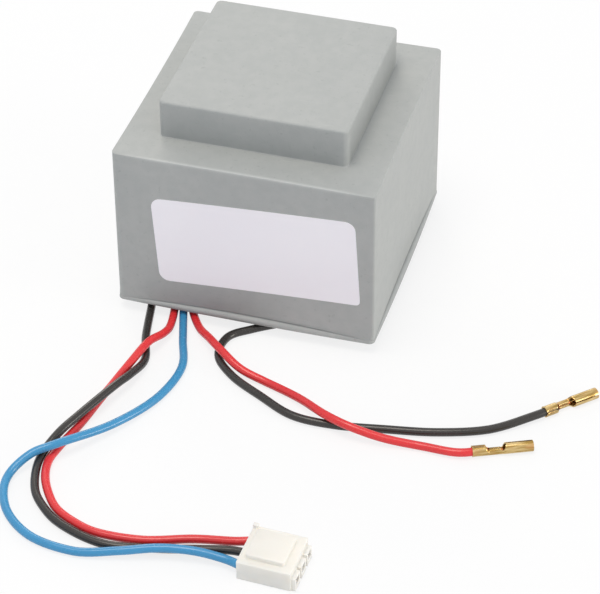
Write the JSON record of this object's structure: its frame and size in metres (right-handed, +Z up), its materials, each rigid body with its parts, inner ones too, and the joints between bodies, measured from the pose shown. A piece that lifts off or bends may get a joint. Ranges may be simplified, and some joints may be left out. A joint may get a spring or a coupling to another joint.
{
  "type": "potted transformer",
  "caption": "Resin-potted mains transformer in a stepped grey plastic case with flying leads, a crimp connector and loose crimp sockets.",
  "frame": {"origin": "centre of the case's footprint, at the underside of the feet, leads not counted", "axes": "+Z up through the raised block, -Y out of the front face that carries the label, +X to the right of that face"},
  "size_m": [0.1241, 0.1482, 0.0564],
  "materials": {
    "grey_case": "fine moulded texture, satin",
    "potting": "poured, slightly glossy",
    "lamination_steel": "stacked sheet edges",
    "bobbin_nylon": "moulded",
    "enamelled_copper": "enamelled wire",
    "winding_tape": "polyester film tape",
    "tinned_metal": "tinned",
    "solder": "solidified, satin",
    "label_paper": "coated, blank",
    "black_pvc": "extruded",
    "red_pvc": "extruded",
    "blue_pvc": "extruded",
    "copper_strands": "tinned copper strands",
    "white_nylon": "natural nylon, satin",
    "brass_sheet": "rolled sheet, bright"
  },
  "bodies": {
    "root": {"housing": "grey_case", "potting_resin": "potting", "core_laminations": "lamination_steel", "bobbin": "bobbin_nylon", "primary_winding": "enamelled_copper", "secondary_winding": "enamelled_copper", "primary_tape": "winding_tape", "secondary_tape": "winding_tape", "terminal_pins": "tinned_metal", "solder_joints": "solder", "primary_tails": "enamelled_copper", "secondary_tails": "enamelled_copper", "label": "label_paper", "lead_black_1": "black_pvc", "lead_red_1": "red_pvc", "lead_blue": "blue_pvc", "lead_red_2": "red_pvc", "lead_black_2": "black_pvc", "inner_strands": "copper_strands", "connector_housing": "white_nylon", "contact_red": "tinned_metal", "contact_black": "tinned_metal", "contact_blue": "tinned_metal", "contact_strands": "copper_strands", "socket_red": "brass_sheet", "socket_black": "brass_sheet", "socket_strands": "copper_strands"}
  },
  "joints": []
}
